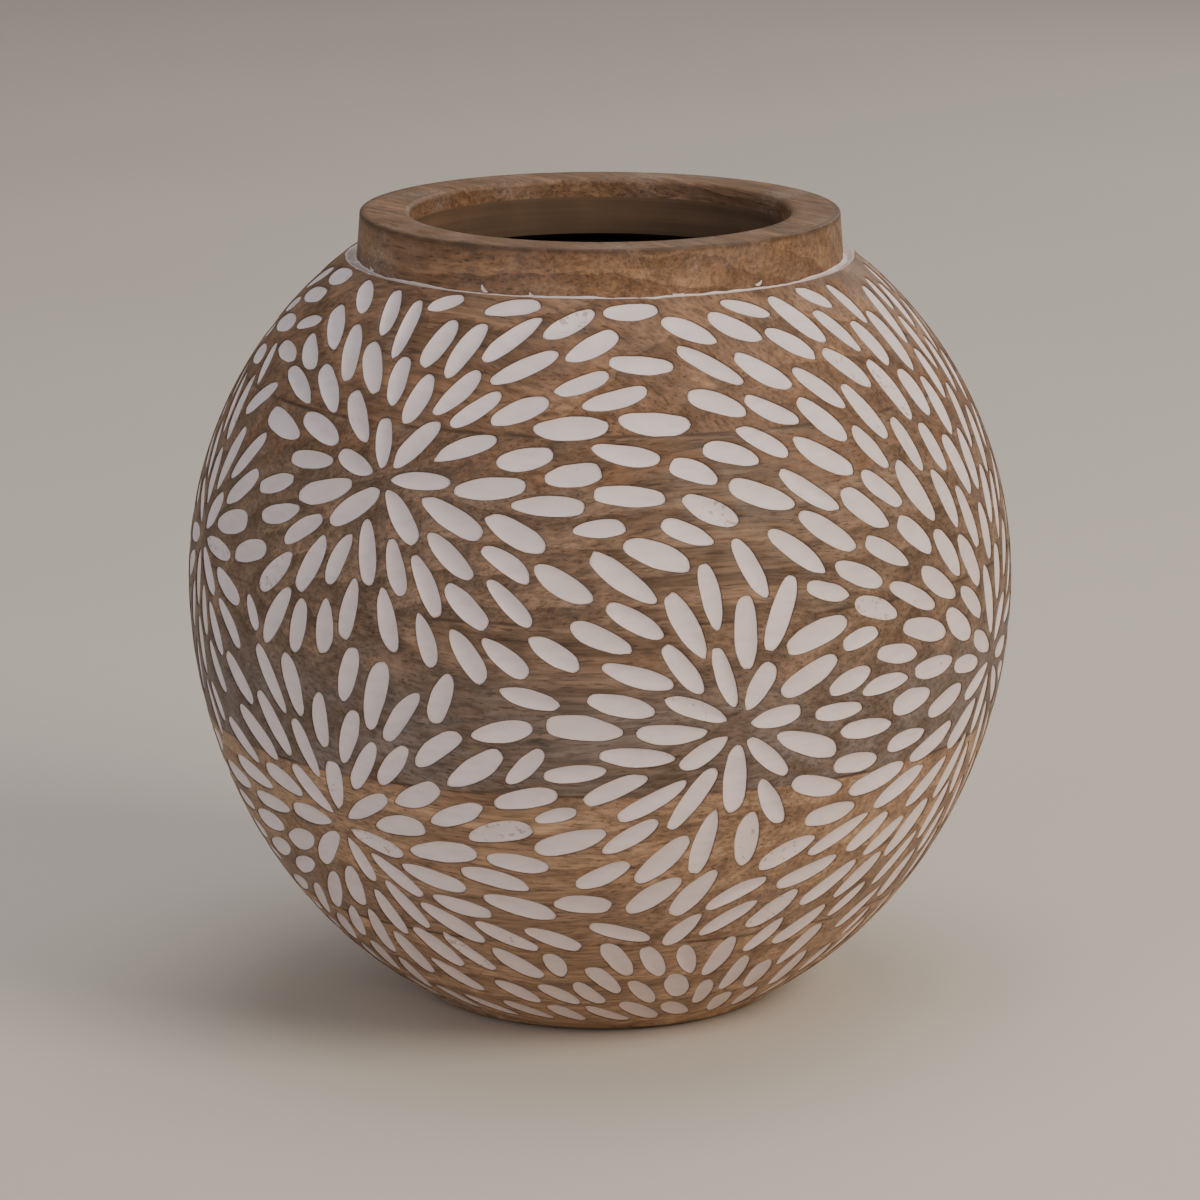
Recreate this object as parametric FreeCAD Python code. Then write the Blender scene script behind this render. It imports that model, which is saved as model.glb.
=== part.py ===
import FreeCAD, Part
import math
import os

# A turned wooden flower vase, built as a stack of glued boards with a separate neck ring and a felt disc below.
# Millimetres. The vase stands on the plane Z = 0 and its turning axis is the Z axis.

Z_AXIS = FreeCAD.Vector(0, 0, 1)

# Overall form: a half sphere above the belly line, and half of a taller ellipsoid below it.
VASE_HEIGHT = 217.0
BELLY_RADIUS = 112.5
BELLY_HEIGHT = 116.0
LOWER_HALF_HEIGHT = 127.0

# The hollow is a sphere centred at the belly line, opened by the straight bore of the mouth.
HOLLOW_RADIUS = 100.0
MOUTH_RADIUS = 51.5

# Neck ring: a slightly flared collar, with a spigot that sits in a rebate in the top board.
COLLAR_HEIGHT = 13.8
COLLAR_TOP_RADIUS = 65.0
COLLAR_BOTTOM_RADIUS = 66.0
SPIGOT_RADIUS = 62.0
SPIGOT_DEPTH = 4.0
LIP_OUTER_ROUND = 0.6
LIP_INNER_ROUND = 1.5

# A turned V-groove runs round the foot of the collar.
GROOVE_WIDTH = 3.0

# Felt disc, let into the underside and standing a little proud of it.
FELT_THICKNESS = 2.0
FELT_PROUD = 1.0
FELT_RADIUS = 41.5
FELT_GAP = 0.5
BASE_EDGE_ROUND = 1.5

# Board stack, from the bottom: a planed base board, then boards of one thickness.
BASE_BOARD_THICKNESS = 35.0
BOARD_THICKNESS = 46.0

WOOD_BOTTOM = FELT_PROUD
COLLAR_SEAT = VASE_HEIGHT - COLLAR_HEIGHT
BASE_SEAM = WOOD_BOTTOM + BASE_BOARD_THICKNESS
LOWER_SEAM = BASE_SEAM + BOARD_THICKNESS
UPPER_SEAM = LOWER_SEAM + BOARD_THICKNESS
SHOULDER_SEAM = UPPER_SEAM + BOARD_THICKNESS


def point(radius, height):
    return FreeCAD.Vector(radius, 0, height)


def lower_radius(height):
    """Radius of the outer surface below the belly line."""
    return BELLY_RADIUS * math.sqrt(1 - ((BELLY_HEIGHT - height) / LOWER_HALF_HEIGHT) ** 2)


def upper_height(radius):
    """Height at which the outer surface above the belly line has this radius."""
    return BELLY_HEIGHT + math.sqrt(BELLY_RADIUS**2 - radius**2)


def turned(edges):
    """Solid made by turning a closed outline in the XZ plane about the vase's axis."""
    outline = Part.Face(Part.Wire(edges))
    return outline.revolve(FreeCAD.Vector(0, 0, 0), Z_AXIS, 360)


def disc(radius, low, high):
    return Part.makeCylinder(radius, high - low, FreeCAD.Vector(0, 0, low), Z_AXIS)


def hollow():
    return Part.makeSphere(HOLLOW_RADIUS, FreeCAD.Vector(0, 0, BELLY_HEIGHT))


def rounded_circles(solid, radius, height, fillet):
    """Rounds the circular edge that has this radius at this height."""
    edges = []
    for edge in solid.Edges:
        box = edge.BoundBox
        at_height = abs(box.ZMin - height) < 0.01 and abs(box.ZMax - height) < 0.01
        if at_height and abs(box.XMax - radius) < 0.05 and abs(box.XMin + radius) < 0.05:
            edges.append(edge)
    return solid.makeFillet(fillet, edges)


def solid_body():
    """The outer form of the glued stack up to the collar's seat, before it is hollowed."""
    base_radius = lower_radius(WOOD_BOTTOM)
    groove_radius = COLLAR_BOTTOM_RADIUS + GROOVE_WIDTH
    groove_top = upper_height(groove_radius)
    base_angle = math.acos((BELLY_HEIGHT - WOOD_BOTTOM) / LOWER_HALF_HEIGHT)
    lower_half = Part.Ellipse(
        point(0, BELLY_HEIGHT - LOWER_HALF_HEIGHT), point(BELLY_RADIUS, BELLY_HEIGHT), point(0, BELLY_HEIGHT)
    )
    half_way = math.radians(26)
    on_shoulder = point(BELLY_RADIUS * math.cos(half_way), BELLY_HEIGHT + BELLY_RADIUS * math.sin(half_way))
    return turned(
        [
            Part.makeLine(point(0, WOOD_BOTTOM), point(base_radius, WOOD_BOTTOM)),
            Part.ArcOfEllipse(lower_half, base_angle, math.pi / 2).toShape(),
            Part.Arc(point(BELLY_RADIUS, BELLY_HEIGHT), on_shoulder, point(groove_radius, groove_top)).toShape(),
            Part.makeLine(point(groove_radius, groove_top), point(COLLAR_BOTTOM_RADIUS, COLLAR_SEAT)),
            Part.makeLine(point(COLLAR_BOTTOM_RADIUS, COLLAR_SEAT), point(0, COLLAR_SEAT)),
            Part.makeLine(point(0, COLLAR_SEAT), point(0, WOOD_BOTTOM)),
        ]
    )


def board(body, low, high):
    """One board of the stack: the hollowed body between two glue faces."""
    return body.common(disc(BELLY_RADIUS + 10, low, high))


def shoulder_board(body):
    """The top board, with the rebate that takes the neck ring's spigot."""
    top = board(body, SHOULDER_SEAM, VASE_HEIGHT)
    return top.cut(disc(SPIGOT_RADIUS, COLLAR_SEAT - SPIGOT_DEPTH, VASE_HEIGHT))


def base_board(body):
    """The bottom board, with a rounded foot edge and the shallow recess for the felt."""
    block = board(body, WOOD_BOTTOM, BASE_SEAM)
    block = rounded_circles(block, lower_radius(WOOD_BOTTOM), WOOD_BOTTOM, BASE_EDGE_ROUND)
    return block.cut(disc(FELT_RADIUS + FELT_GAP, 0, FELT_THICKNESS))


def neck_ring():
    """The collar with its spigot, bored for the mouth and rounded at both lip edges."""
    collar = Part.makeCone(
        COLLAR_BOTTOM_RADIUS, COLLAR_TOP_RADIUS, COLLAR_HEIGHT, FreeCAD.Vector(0, 0, COLLAR_SEAT), Z_AXIS
    )
    ring = collar.fuse(disc(SPIGOT_RADIUS, COLLAR_SEAT - SPIGOT_DEPTH, COLLAR_SEAT + 1))
    ring = ring.cut(disc(MOUTH_RADIUS, COLLAR_SEAT - SPIGOT_DEPTH - 1, VASE_HEIGHT + 1))
    ring = ring.cut(hollow())
    ring = rounded_circles(ring, COLLAR_TOP_RADIUS, VASE_HEIGHT, LIP_OUTER_ROUND)
    return rounded_circles(ring, MOUTH_RADIUS, VASE_HEIGHT, LIP_INNER_ROUND)


def felt_disc():
    return disc(FELT_RADIUS, 0, FELT_THICKNESS)


def main():
    body = solid_body().cut(hollow())
    pieces = {
        "neck_ring": neck_ring(),
        "shoulder_board": shoulder_board(body),
        "upper_board": board(body, UPPER_SEAM, SHOULDER_SEAM),
        "middle_board": board(body, LOWER_SEAM, UPPER_SEAM),
        "lower_board": board(body, BASE_SEAM, LOWER_SEAM),
        "base_board": base_board(body),
        "felt_disc": felt_disc(),
    }
    os.makedirs("parts", exist_ok=True)
    for name, shape in pieces.items():
        shape = shape.removeSplitter()
        shape = shape.Solids[0]
        print(name, "valid", shape.isValid(), "volume", round(shape.Volume), shape.BoundBox)
        shape.exportStep(f"parts/{name}.step")


main()
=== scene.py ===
import math
import random

import bmesh
import bpy
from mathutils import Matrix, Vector, noise
from mathutils.geometry import delaunay_2d_cdt


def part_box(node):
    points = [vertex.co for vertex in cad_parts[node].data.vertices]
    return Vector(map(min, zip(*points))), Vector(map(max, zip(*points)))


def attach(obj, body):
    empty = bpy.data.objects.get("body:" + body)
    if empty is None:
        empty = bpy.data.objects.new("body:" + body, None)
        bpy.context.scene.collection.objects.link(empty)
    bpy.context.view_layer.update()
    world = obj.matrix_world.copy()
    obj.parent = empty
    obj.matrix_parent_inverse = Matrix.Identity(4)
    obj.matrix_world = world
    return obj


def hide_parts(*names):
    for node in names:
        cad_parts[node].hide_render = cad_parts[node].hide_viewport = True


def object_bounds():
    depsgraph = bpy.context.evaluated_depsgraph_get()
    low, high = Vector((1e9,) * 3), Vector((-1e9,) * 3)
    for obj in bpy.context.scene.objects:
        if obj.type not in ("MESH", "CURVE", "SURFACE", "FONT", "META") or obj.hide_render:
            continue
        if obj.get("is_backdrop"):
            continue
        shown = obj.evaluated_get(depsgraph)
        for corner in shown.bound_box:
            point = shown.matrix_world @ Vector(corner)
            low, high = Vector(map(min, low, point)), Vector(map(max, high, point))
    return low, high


# The visual model of a turned wooden vase. Metres, in the same frame as the CAD model.
# The body is one turned form cut into five glued boards. Gouge-cut petals cover it, filled with white paint.
# A place on the body is an azimuth (0 at the front, -Y, growing towards +X) and a latitude (0 at the belly).

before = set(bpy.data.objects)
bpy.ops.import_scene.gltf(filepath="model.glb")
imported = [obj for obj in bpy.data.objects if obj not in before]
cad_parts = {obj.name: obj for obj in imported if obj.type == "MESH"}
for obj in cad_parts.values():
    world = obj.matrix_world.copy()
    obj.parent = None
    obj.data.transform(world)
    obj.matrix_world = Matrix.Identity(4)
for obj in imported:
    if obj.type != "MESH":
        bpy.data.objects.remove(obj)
cad_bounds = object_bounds()

MM = 0.001
TURN = 2 * math.pi

# -------- sizes

# Outer form: a half sphere above the belly line and half of a taller ellipsoid below it.
BELLY_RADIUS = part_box("middle_board")[1][0]
BELLY_HEIGHT = 116 * MM
LOWER_HALF_HEIGHT = 127 * MM
HOLLOW_RADIUS = 100 * MM

VASE_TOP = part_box("neck_ring")[1][2]
SPIGOT_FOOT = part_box("neck_ring")[0][2]
GROOVE_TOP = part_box("shoulder_board")[1][2]
WOOD_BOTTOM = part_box("base_board")[0][2]
FELT_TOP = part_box("felt_disc")[1][2]
FELT_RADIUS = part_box("felt_disc")[1][0]

COLLAR_SEAT = SPIGOT_FOOT + 4 * MM
COLLAR_TOP_RADIUS = 65 * MM
COLLAR_BOTTOM_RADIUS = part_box("neck_ring")[1][0]
SPIGOT_RADIUS = 62 * MM
MOUTH_RADIUS = 51.5 * MM
LIP_OUTER_ROUND = 0.6 * MM
LIP_INNER_ROUND = 1.5 * MM
FELT_RECESS_RADIUS = FELT_RADIUS + 0.5 * MM
FOOT_ROUND = 1.5 * MM

# The boards, from the bottom up, and the heights of the faces between them.
BOARDS = ("base_board", "lower_board", "middle_board", "upper_board", "shoulder_board")
SEAMS = [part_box(board)[0][2] for board in BOARDS[1:]]

# Segments round every turned surface.
SEGMENTS = 240

# Petals: half sizes of a typical one, and half of the bare wood kept between two, at their sides and tips.
PETAL_HALF_LENGTH = 8.9 * MM
PETAL_HALF_WIDTH = 3.0 * MM
SIDE_ELBOW = 0.9 * MM
TIP_ELBOW = 0.35 * MM
OUTLINE_POINTS = 24

# Bare wood kept at the groove and at the foot.
TOP_MARGIN = 1.8 * MM
BASE_MARGIN = 2.5 * MM

# The cut's lip: distance out from the petal's outline, depth below the surface, and how dark its edge is,
# which is stain and painted shade down the lip's wall.
LIP = ((0.35 * MM, 0.0, 0.0), (0.0, 0.20 * MM, 1.0), (-0.22 * MM, 0.70 * MM, 1.0))
PAINT_EDGE_DEPTH = 0.32 * MM
PAINT_THICKNESS = 0.14 * MM
WOOD_UNDER_PAINT = 0.45 * MM

# Rings of points over the paint: share of the petal's reach, distance out from there, and how dark, which is
# dirt and painted shade at the paint's edge.
PAINT_RINGS = ((1.0, -0.03 * MM, 1.0), (0.92, 0.0, 0.25), (0.74, 0.0, 0.0), (0.42, 0.0, 0.0))

# Rosettes: azimuth and latitude of the centre in degrees, size of the petals, and how far the rosette
# spreads against its neighbours. The front shows the first six.
ROSETTES = (
    (-33, 23.5, 0.96, 1.1),
    (18.7, -7.2, 1.04, 0.78),
    (-41, -23, 1.0, 0.98),
    (70, -6, 1.0, 1.9),
    (-74, 9, 0.98, 0.8),
    (46, -71, 0.95, 1.2),
    (128, 30, 1.0, 1.0),
    (160, -6, 1.05, 1.1),
    (116, -44, 0.95, 0.9),
    (-112, 33, 1.0, 0.95),
    (-158, 20, 1.05, 1.0),
    (-112, -24, 1.0, 1.1),
    (-156, -44, 0.92, 0.9),
)

# Bare wood at a rosette's very centre, and the step between the places tried for the petals further out.
FIRST_RING_GAP = 2.4 * MM
TRY_STEP = 1.4 * MM

# Where rosettes meet, one this many times as remote as the nearest has no say in a petal's heading.
SAY_LIMIT = 3

# Rounds of filling the gaps: size of the petals, and how much their headings stray.
FILL_ROUNDS = ((0.96, 0.10), (0.90, 0.22), (0.82, 0.32), (0.74, 0.42), (0.66, 0.50))


# -------- the turned surface


def half_height(latitude):
    return BELLY_RADIUS if latitude >= 0 else LOWER_HALF_HEIGHT


def latitude_at(height):
    """Latitude of the outer surface at this height."""
    rise = height - BELLY_HEIGHT
    return math.asin(rise / half_height(rise))


def polar(azimuth, radius, height):
    return Vector((radius * math.sin(azimuth), -radius * math.cos(azimuth), height))


def on_body(azimuth, latitude, depth=0.0):
    """The point this far under the turned surface."""
    rise = half_height(latitude)
    normal = Vector((math.cos(latitude) / BELLY_RADIUS, math.sin(latitude) / rise)).normalized()
    radius = BELLY_RADIUS * math.cos(latitude) - depth * normal.x
    return polar(azimuth, radius, BELLY_HEIGHT + rise * math.sin(latitude) - depth * normal.y)


def flat_place(azimuth, latitude):
    """A place on the flat ring-shaped map used for triangulating, which keeps small shapes true."""
    reach = math.exp(math.asinh(math.tan(latitude)))
    return Vector((reach * math.cos(azimuth), reach * math.sin(azimuth)))


def place_on_map(point):
    """Azimuth and latitude of a point of the flat map."""
    return math.atan2(point.y, point.x), math.atan(math.sinh(math.log(point.length)))


def direction_of(azimuth, latitude):
    spread = math.cos(latitude)
    return Vector((spread * math.sin(azimuth), -spread * math.cos(azimuth), math.sin(latitude)))


def compass(azimuth, latitude):
    """Unit vectors to the east (growing azimuth) and to the north (growing latitude)."""
    east = Vector((math.cos(azimuth), math.sin(azimuth), 0))
    rise = math.sin(latitude)
    north = Vector((-rise * math.sin(azimuth), rise * math.cos(azimuth), math.cos(latitude)))
    return east, north


def walk(azimuth, latitude, bearing, distance):
    """Walks over the body from a place. Returns the place reached and the heading there."""
    here = direction_of(azimuth, latitude)
    east, north = compass(azimuth, latitude)
    ahead = east * math.cos(bearing) + north * math.sin(bearing)
    angle = distance / BELLY_RADIUS
    there = here * math.cos(angle) + ahead * math.sin(angle)
    onward = ahead * math.cos(angle) - here * math.sin(angle)
    new_azimuth = math.atan2(there.x, -there.y)
    new_latitude = math.asin(there.z)
    east, north = compass(new_azimuth, new_latitude)
    return new_azimuth, new_latitude, math.atan2(onward.dot(north), onward.dot(east))


FOOT_LATITUDE = latitude_at(WOOD_BOTTOM + FOOT_ROUND)
SEAM_LATITUDES = [latitude_at(height) for height in SEAMS]
GROOVE_LATITUDE = latitude_at(GROOVE_TOP)


def scatter(lowest, first_row, pitch, jitter, dice):
    """Yields places about one pitch apart, in level rows from a latitude up to the groove."""
    span = GROOVE_LATITUDE - lowest
    rows = round(span * BELLY_RADIUS / pitch)
    for row in range(first_row, rows):
        latitude = lowest + span * row / rows
        count = round(TURN * BELLY_RADIUS * math.cos(latitude) / pitch)
        for column in range(count):
            yield TURN * (column + dice.random() * jitter) / count, latitude


# -------- petals


class Petal:
    """One gouge cut with a leaf-like outline. Its heading points away from its rosette's centre."""

    def __init__(self, size, dice):
        self.half_length = PETAL_HALF_LENGTH * size * dice.uniform(0.84, 1.14)
        self.half_width = PETAL_HALF_WIDTH * size**0.5 * dice.uniform(0.84, 1.14)
        self.egg = dice.uniform(-0.06, 0.18)
        self.inner_point = dice.uniform(0.8, 1.12)
        self.outer_point = dice.uniform(0.7, 0.92)
        self.bow = dice.gauss(0, 0.3 * MM)
        self.depth = dice.uniform(0.85, 1.2) * MM
        self.tone = dice.random()
        self.wear = dice.random() ** 5
        rough = [dice.gauss(0, 0.03) for index in range(OUTLINE_POINTS)]
        self.wobble = [1 + (rough[index - 1] + rough[index]) / 2 for index in range(OUTLINE_POINTS)]

    def move_to(self, azimuth, latitude, heading):
        self.azimuth = azimuth
        self.latitude = latitude
        self.heading = heading
        rise = half_height(latitude) * math.cos(latitude)
        self.metres_north = math.hypot(BELLY_RADIUS * math.sin(latitude), rise)
        self.discs = [self.disc(share) for share in (0.0, -0.62, 0.62, -0.31, 0.31, -0.92, 0.92)]

    def half_width_at(self, cosine, sine):
        point = self.inner_point if cosine < 0 else self.outer_point
        return self.half_width * abs(sine) ** point * (1 + self.egg * cosine)

    def place(self, along, across):
        """Azimuth and latitude of a point given in the petal's own lengthwise and sideways distances."""
        east = along * math.cos(self.heading) - across * math.sin(self.heading)
        north = along * math.sin(self.heading) + across * math.cos(self.heading)
        latitude = self.latitude + north / self.metres_north
        radius = BELLY_RADIUS * math.cos((self.latitude + latitude) / 2)
        return self.azimuth + east / radius, latitude

    def outline(self, share=1.0, offset=0.0):
        """Places round the outline, shrunk towards the centre by share and moved outwards by offset."""
        places = []
        for index in range(OUTLINE_POINTS):
            angle = TURN * index / OUTLINE_POINTS
            cosine = math.cos(angle)
            sine = math.sin(angle)
            reach = share * self.wobble[index]
            along = (self.half_length * reach + offset) * cosine
            side = self.half_width_at(cosine, sine) * reach * math.copysign(1, sine)
            bend = self.bow * (1 - cosine * cosine) * share
            places.append(self.place(along, side + offset * sine + bend))
        return places

    def disc(self, share):
        """A circle round part of the outline and its elbow room, as (x, y, z, radius)."""
        radius = self.half_width_at(share, math.sqrt(1 - share * share))
        radius += TIP_ELBOW + (SIDE_ELBOW - TIP_ELBOW) * (1 - share * share)
        centre = on_body(*self.place(self.half_length * share, 0))
        return centre.x, centre.y, centre.z, radius

    def share_at(self, azimuth, latitude):
        """How far out a place is in this petal: 0 at its centre, 1 on its outline, more outside."""
        north = (latitude - self.latitude) * self.metres_north
        turn = (azimuth - self.azimuth + math.pi) % TURN - math.pi
        east = turn * BELLY_RADIUS * math.cos((self.latitude + latitude) / 2)
        along = east * math.cos(self.heading) + north * math.sin(self.heading)
        across = north * math.cos(self.heading) - east * math.sin(self.heading)
        cosine = along / self.half_length
        if abs(cosine) >= 1:
            return 2.0
        width = self.half_width * (1 + self.egg * cosine)
        return math.hypot(cosine, across / width)

    def paint_depth(self, share):
        return PAINT_EDGE_DEPTH + (self.depth - PAINT_EDGE_DEPTH) * (1 - share * share)

    def wood_depth(self, share):
        """Depth of the cut wood under the paint."""
        return self.paint_depth(share) + WOOD_UNDER_PAINT


class PetalMap:
    """The petals placed so far, kept in coarse cells so that neighbours are quick to find."""

    CELL = 24 * MM
    LEAST_HALF_WIDTH = 0.8 * PETAL_HALF_WIDTH

    def __init__(self):
        self.petals = []
        self.cells = {}

    def cell_of(self, point):
        return tuple(math.floor(value / self.CELL) for value in point)

    def near(self, point):
        column, row, layer = self.cell_of(point)
        for x in (column - 1, column, column + 1):
            for y in (row - 1, row, row + 1):
                for z in (layer - 1, layer, layer + 1):
                    yield from self.cells.get((x, y, z), ())

    def is_taken(self, point):
        """True if a petal centred at this point could only overlap another."""
        for other in self.near(point):
            for disc in other.discs:
                if math.dist(point, disc[:3]) < disc[3] + self.LEAST_HALF_WIDTH:
                    return True
        return False

    def has_room(self, petal):
        for other in self.near(petal.discs[0][:3]):
            for ax, ay, az, ar in petal.discs:
                for bx, by, bz, br in other.discs:
                    reach = ar + br
                    if (ax - bx) ** 2 + (ay - by) ** 2 + (az - bz) ** 2 < reach * reach:
                        return False
        return True

    def clearance(self, point):
        """Distance from a point to the nearest petal's elbow room."""
        best = 1.0
        for other in self.near(point):
            for x, y, z, radius in other.discs:
                gap = math.dist(point, (x, y, z)) - radius
                best = min(best, gap)
        return best

    def add(self, petal):
        self.petals.append(petal)
        self.cells.setdefault(self.cell_of(petal.discs[0][:3]), []).append(petal)

    def holding(self, azimuth, latitude):
        """The petal nearest to holding this place, and how far out in it the place is."""
        best = (None, 9.0)
        for petal in self.near(on_body(azimuth, latitude)):
            share = petal.share_at(azimuth, latitude)
            if share < best[1]:
                best = (petal, share)
        return best


def within_body(petal):
    """True if the whole petal keeps clear of the groove at the top and the foot at the bottom."""
    heights = [z for x, y, z, radius in petal.discs]
    tips = [petal.place(side * petal.half_length, 0)[1] for side in (-1, 1)]
    top = GROOVE_LATITUDE - TOP_MARGIN / BELLY_RADIUS
    return max(tips) < top and min(heights) > WOOD_BOTTOM + FOOT_ROUND + BASE_MARGIN


CENTRES = [direction_of(math.radians(rosette[0]), math.radians(rosette[1])) for rosette in ROSETTES]


def remoteness(direction):
    """How remote each rosette's centre is, squared, allowing for how far the rosette spreads."""
    return [(1 - direction.dot(centre)) / rosette[3] ** 2 for centre, rosette in zip(CENTRES, ROSETTES)]


def flow_at(azimuth, latitude):
    """The rosette that holds a place, and the heading of petals there.

    Petals point away from their rosette's centre, and turn gently where rosettes meet, so that rows run on.
    """
    direction = direction_of(azimuth, latitude)
    east, north = compass(azimuth, latitude)
    remote = remoteness(direction)
    nearest = min(remote)
    owner = remote.index(nearest)
    cosines = 0.0
    sines = 0.0
    for index, centre in enumerate(CENTRES):
        if remote[index] > SAY_LIMIT * nearest:
            continue
        away = direction - centre
        heading = math.atan2(away.dot(north), away.dot(east))
        weight = (nearest / remote[index]) ** 3
        cosines += weight * math.cos(2 * heading)
        sines += weight * math.sin(2 * heading)
        if index == owner:
            outward = heading
    heading = math.atan2(sines, cosines) / 2
    if math.cos(heading - outward) < 0:
        heading += math.pi
    return owner, heading


def first_ring(rosette, placed, dice):
    """The evenly spread petals round a rosette's centre, with their narrow ends inwards."""
    azimuth, latitude = (math.radians(angle) for angle in ROSETTES[rosette][:2])
    count = dice.choice((7, 7, 8))
    start = dice.uniform(0, TURN)
    for step in range(count):
        petal = Petal(0.9 * ROSETTES[rosette][2], dice)
        petal.inner_point = 1.25
        bearing = start + TURN * (step + dice.uniform(-0.08, 0.08)) / count
        reach = petal.half_length + FIRST_RING_GAP + dice.uniform(0, 1.5) * MM
        petal.move_to(*walk(azimuth, latitude, bearing, reach))
        if within_body(petal) and placed.has_room(petal):
            placed.add(petal)


def places_to_try(dice):
    """Close-set places all over the body, those nearest to a rosette's centre first."""
    lowest = latitude_at(WOOD_BOTTOM + FOOT_ROUND + BASE_MARGIN)
    tries = []
    for azimuth, latitude in scatter(lowest, 0, TRY_STEP, 1.0, dice):
        remote = remoteness(direction_of(azimuth, latitude))
        owner = remote.index(min(remote))
        distance = math.sqrt(2 * remote[owner]) * ROSETTES[owner][3] * BELLY_RADIUS
        if distance > PETAL_HALF_LENGTH:
            tries.append((distance + dice.uniform(0, 2.5) * MM, azimuth, latitude))
    tries.sort()
    return [(azimuth, latitude) for distance, azimuth, latitude in tries]


def lay_out_petals():
    """Grows the rosettes outwards until they meet, then fills the gaps left between them."""
    dice = random.Random(11)
    placed = PetalMap()
    for rosette in range(len(ROSETTES)):
        first_ring(rosette, placed, dice)
    in_hand = [Petal(rosette[2], dice) for rosette in ROSETTES]
    places = places_to_try(dice)
    for azimuth, latitude in places:
        if placed.is_taken(on_body(azimuth, latitude)):
            continue
        rosette, heading = flow_at(azimuth, latitude)
        petal = in_hand[rosette]
        petal.move_to(azimuth, latitude, heading + dice.gauss(0, 0.1))
        if within_body(petal) and placed.has_room(petal):
            placed.add(petal)
            in_hand[rosette] = Petal(ROSETTES[rosette][2], dice)
    fill_gaps(placed, places, dice)
    return placed


def fill_gaps(placed, places, dice):
    """Adds smaller and smaller petals where wood is still bare. Each round strays more from the rows."""
    for size, stray in FILL_ROUNDS:
        places = [place for place in places if not placed.is_taken(on_body(*place))]
        dice.shuffle(places)
        for azimuth, latitude in places:
            petal = Petal(size, dice)
            petal.move_to(azimuth, latitude, flow_at(azimuth, latitude)[1] + dice.gauss(0, stray))
            if within_body(petal) and placed.has_room(petal):
                placed.add(petal)


# -------- the carved skin


def sides(loop):
    """Each item of a closed loop with the one after it."""
    return zip(loop, loop[1:] + loop[:1])


class Sketch:
    """Points and fixed edges on the flat map, with each point's depth and edge darkness.

    Each edge's fact is the depth and darkness along it, or None where it is a cut between two boards.
    """

    def __init__(self):
        self.points = []
        self.depths = []
        self.darks = []
        self.edges = []
        self.edge_facts = []

    def add_point(self, azimuth, latitude, depth=0.0, dark=0.0):
        self.points.append(flat_place(azimuth, latitude))
        self.depths.append(depth)
        self.darks.append(dark)
        return len(self.points) - 1

    def fix_edges(self, loop, fact):
        for edge in sides(loop):
            self.edges.append(edge)
            self.edge_facts.append(fact)

    def add_loop(self, places, depth, dark):
        """A closed loop of fixed edges at one depth."""
        self.fix_edges([self.add_point(*place, depth, dark) for place in places], (depth, dark))

    def add_cut(self, latitude, petals):
        """A level cut right round the body, down through the petals' hollows but clear of their lips."""
        inside_lip = 0.8
        outside_lip = 1.25
        line = []
        for index in range(SEGMENTS):
            azimuth = TURN * index / SEGMENTS
            petal, share = petals.holding(azimuth, latitude)
            if share > outside_lip:
                line.append(self.add_point(azimuth, latitude))
            elif share < inside_lip:
                line.append(self.add_point(azimuth, latitude, petal.wood_depth(share), 1.0))
        self.fix_edges(line, None)


def sketch_petal(sketch, petal):
    """The lip's loops, and points along the bottom of the cut."""
    for offset, depth, dark in LIP:
        sketch.add_loop(petal.outline(offset=offset), depth, dark)
    for share in (-0.7, -0.35, 0.0, 0.35, 0.7):
        place = petal.place(petal.half_length * share, petal.bow * (1 - share * share))
        sketch.add_point(*place, petal.wood_depth(abs(share)), 1.0)


def sketch_bare_wood(sketch, petals):
    """Loose points between the petals, so that the bare wood keeps its round form."""
    pitch = 4.2 * MM
    least_gap = 0.5 * MM
    for place in scatter(FOOT_LATITUDE, 1, pitch, 0.6, random.Random(5)):
        if petals.clearance(on_body(*place)) > least_gap:
            sketch.add_point(*place)


def read_back(sketch, edges, from_points, from_edges):
    """Depth and darkness of each triangulated point, and the edges that part two boards."""
    depths = [0.0] * len(from_points)
    darks = [0.0] * len(from_points)
    for index, sources in enumerate(from_points):
        for source in sources:
            depths[index] = max(depths[index], sketch.depths[source])
            darks[index] = max(darks[index], sketch.darks[source])
    cut_edges = set()
    for ends, sources in zip(edges, from_edges):
        facts = [sketch.edge_facts[source] for source in sources]
        if None in facts:
            cut_edges.add(frozenset(ends))
        lips = [fact for fact in facts if fact]
        for end in ends:
            if lips and not from_points[end]:
                depths[end], darks[end] = lips[0]
    return depths, darks, cut_edges


def carve_skin(petals):
    """Triangulates the carved surface. Returns its points, their darkness and each board's triangles."""
    sketch = Sketch()
    for petal in petals.petals:
        sketch_petal(sketch, petal)
    for latitude in [FOOT_LATITUDE] + SEAM_LATITUDES + [GROOVE_LATITUDE]:
        sketch.add_cut(latitude, petals)
    sketch_bare_wood(sketch, petals)

    whole_hull = 0
    too_close = 1e-7
    points, edges, faces, from_points, from_edges, _ = delaunay_2d_cdt(
        sketch.points, sketch.edges, [], whole_hull, too_close
    )
    depths, darks, cut_edges = read_back(sketch, edges, from_points, from_edges)
    places = [place_on_map(point) for point in points]
    solid_points = [on_body(*place, depth) for place, depth in zip(places, depths)]
    boards = [[] for board in BOARDS]
    for patch in connected_patches(faces, cut_edges):
        latitude = sum(places[corner][1] for face in patch for corner in face) / (3 * len(patch))
        if latitude > FOOT_LATITUDE:
            boards[board_at(latitude)] += patch
    return solid_points, darks, boards


def board_at(latitude):
    """Which board, counted from the bottom, holds this latitude."""
    return sum(latitude > seam for seam in SEAM_LATITUDES)


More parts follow.
